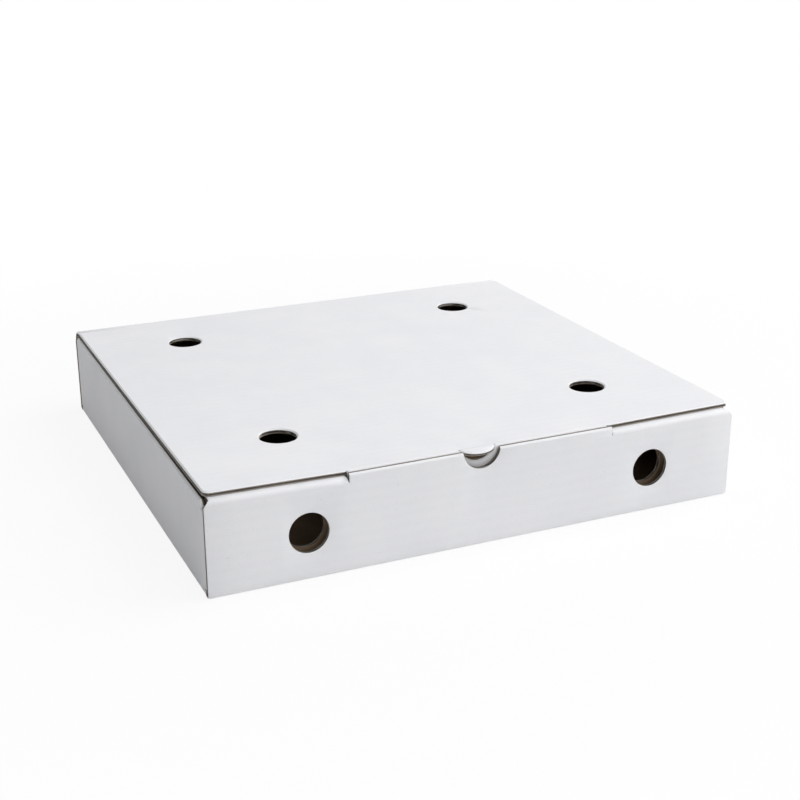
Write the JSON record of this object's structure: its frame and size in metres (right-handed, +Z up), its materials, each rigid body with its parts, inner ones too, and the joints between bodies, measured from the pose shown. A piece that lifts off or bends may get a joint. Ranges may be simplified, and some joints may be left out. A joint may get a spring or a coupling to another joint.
{
  "type": "pizza box",
  "caption": "Flat square folding box of white-lined corrugated board with a hinged tuck-in lid, a thumb notch and round vent holes.",
  "frame": {"origin": "middle of the underside of the floor, on the table", "axes": "+Z up, +X to the right along the front as seen from in front, +Y from the front wall with the thumb notch to the back wall with the lid's crease"},
  "size_m": [0.32, 0.303, 0.0559],
  "materials": {
    "tray_board": "matt white liner outside, brown kraft inside",
    "lid_board": "matt white liner outside, brown kraft inside"
  },
  "bodies": {
    "tray": {"tray": "tray_board"},
    "lid": {"lid": "lid_board"}
  },
  "joints": [
    {"name": "lid_hinge", "type": "hinge", "parent": "tray", "child": "lid", "pos_m": [0, 0.1515, 0.0559], "axis": [-1, 0, 0], "range_deg": [0, 180]}
  ]
}
